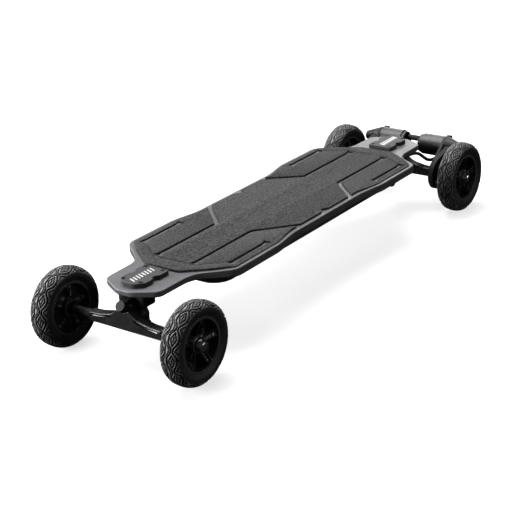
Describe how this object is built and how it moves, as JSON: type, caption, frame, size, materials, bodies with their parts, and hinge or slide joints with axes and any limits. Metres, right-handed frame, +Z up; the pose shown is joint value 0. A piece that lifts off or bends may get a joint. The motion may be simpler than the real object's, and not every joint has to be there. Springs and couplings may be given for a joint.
{
  "type": "electric skateboard",
  "caption": "Long electric skateboard with large rubber tyres, spring-steered trucks, belt-driven rear wheels and a battery tray under a grooved grip deck.",
  "frame": {"origin": "on the floor under the centre of the board", "axes": "+X forward to the nose, +Y to the board's left, +Z up"},
  "size_m": [1.1604, 0.362, 0.16],
  "materials": {
    "deck": "satin carbon-fibre composite",
    "grip": "speckled foam rubber grip",
    "badge": "satin grey",
    "tray": "fine-grained matt",
    "seal_rubber": "matt",
    "cell_wrap": "shrink-wrapped",
    "controller_case": "bead blasted",
    "black_screw": "black oxide",
    "bright_steel": "zinc plated",
    "forged_black": "satin black anodised",
    "bushing_urethane": "satin urethane",
    "tyre": "matt moulded",
    "rim_black": "semi-gloss moulded",
    "motor_black": "satin black",
    "cover_grey": "satin grey anodised",
    "belt_rubber": "matt",
    "cable_jacket": "satin sleeve",
    "pulley_black": "hard anodised",
    "small_plastic": "matt"
  },
  "bodies": {
    "deck": {"deck_shell": "deck", "grip_pad": "grip", "nose_badge_plate": "badge", "tail_badge_plate": "badge", "battery_enclosure": "tray", "enclosure_gasket": "seal_rubber", "enclosure_screws": "black_screw", "battery_pack": "cell_wrap", "motor_controller": "controller_case", "charge_port": "small_plastic", "button_bezel": "small_plastic", "motor_cables": "cable_jacket", "riser_pads": "seal_rubber", "front_baseplate": "forged_black", "rear_baseplate": "forged_black", "truck_bolts": "black_screw", "truck_nuts": "bright_steel", "kingpins": "bright_steel", "kingpin_nuts": "bright_steel", "bushings": "bushing_urethane", "bushing_washers": "bright_steel", "pivot_cups": "small_plastic"},
    "button": {"power_button": "small_plastic"},
    "cap": {"charge_port_cap": "seal_rubber"},
    "front_truck": {"front_hanger": "forged_black", "front_axle": "bright_steel", "front_axle_nuts": "bright_steel", "front_wheel_bearings": "bright_steel"},
    "rear_truck": {"rear_hanger": "forged_black", "rear_axle": "bright_steel", "rear_axle_nuts": "bright_steel", "rear_wheel_bearings": "bright_steel", "motor_brace": "forged_black", "mount_screws": "bright_steel", "motor_housing_left": "motor_black", "motor_mount_left": "cover_grey", "belt_cover_left": "cover_grey", "drive_belt_left": "belt_rubber", "motor_housing_right": "motor_black", "motor_mount_right": "cover_grey", "belt_cover_right": "cover_grey", "drive_belt_right": "belt_rubber"},
    "front_left_wheel": {"front_left_tyre": "tyre", "front_left_rim": "rim_black", "front_left_rim_bolts": "bright_steel"},
    "front_right_wheel": {"front_right_tyre": "tyre", "front_right_rim": "rim_black", "front_right_rim_bolts": "bright_steel"},
    "rear_left_wheel": {"rear_left_tyre": "tyre", "rear_left_rim": "rim_black", "rear_left_rim_bolts": "bright_steel", "wheel_pulley_left": "pulley_black"},
    "rear_right_wheel": {"rear_right_tyre": "tyre", "rear_right_rim": "rim_black", "rear_right_rim_bolts": "bright_steel", "wheel_pulley_right": "pulley_black"},
    "motor_shaft_left": {"motor_rotor_left": "bright_steel", "motor_pulley_left": "pulley_black"},
    "motor_shaft_right": {"motor_rotor_right": "bright_steel", "motor_pulley_right": "pulley_black"}
  },
  "joints": [
    {"name": "front_steer", "type": "hinge", "parent": "deck", "child": "front_truck", "pos_m": [0.456, 0, 0.085], "axis": [0.8192, 0, 0.5736], "range_deg": [-15, 15], "stiffness_Nm_per_rad": 60},
    {"name": "rear_steer", "type": "hinge", "parent": "deck", "child": "rear_truck", "pos_m": [-0.456, 0, 0.085], "axis": [-0.8192, 0, 0.5736], "range_deg": [-15, 15], "stiffness_Nm_per_rad": 60, "deforming": ["motor_cables"]},
    {"name": "front_left_wheel_spin", "type": "hinge", "parent": "front_truck", "child": "front_left_wheel", "pos_m": [0.4945, 0.1575, 0.08], "axis": [0, 1, 0], "continuous": true},
    {"name": "front_right_wheel_spin", "type": "hinge", "parent": "front_truck", "child": "front_right_wheel", "pos_m": [0.4945, -0.1575, 0.08], "axis": [0, 1, 0], "continuous": true},
    {"name": "rear_left_wheel_spin", "type": "hinge", "parent": "rear_truck", "child": "rear_left_wheel", "pos_m": [-0.4945, 0.1575, 0.08], "axis": [0, 1, 0], "continuous": true},
    {"name": "rear_right_wheel_spin", "type": "hinge", "parent": "rear_truck", "child": "rear_right_wheel", "pos_m": [-0.4945, -0.1575, 0.08], "axis": [0, 1, 0], "continuous": true},
    {"name": "motor_left_spin", "type": "hinge", "parent": "rear_truck", "child": "motor_shaft_left", "pos_m": [-0.5614, 0.06, 0.1218], "axis": [0, 1, 0], "continuous": true},
    {"name": "motor_right_spin", "type": "hinge", "parent": "rear_truck", "child": "motor_shaft_right", "pos_m": [-0.5614, -0.06, 0.1218], "axis": [0, 1, 0], "continuous": true},
    {"name": "power_button_press", "type": "slide", "parent": "deck", "child": "button", "axis": [0, 1, 0], "range_m": [0, 0.002], "stiffness_N_per_m": 400},
    {"name": "charge_cap_swing", "type": "hinge", "parent": "deck", "child": "cap", "pos_m": [-0.288, 0.101, 0.1302], "axis": [1, 0, 0], "range_deg": [0, 90]}
  ],
  "couplings": [
    {"joint": "motor_left_spin", "follows": "rear_left_wheel_spin", "ratio": 3.1429},
    {"joint": "motor_right_spin", "follows": "rear_right_wheel_spin", "ratio": 3.1429}
  ]
}
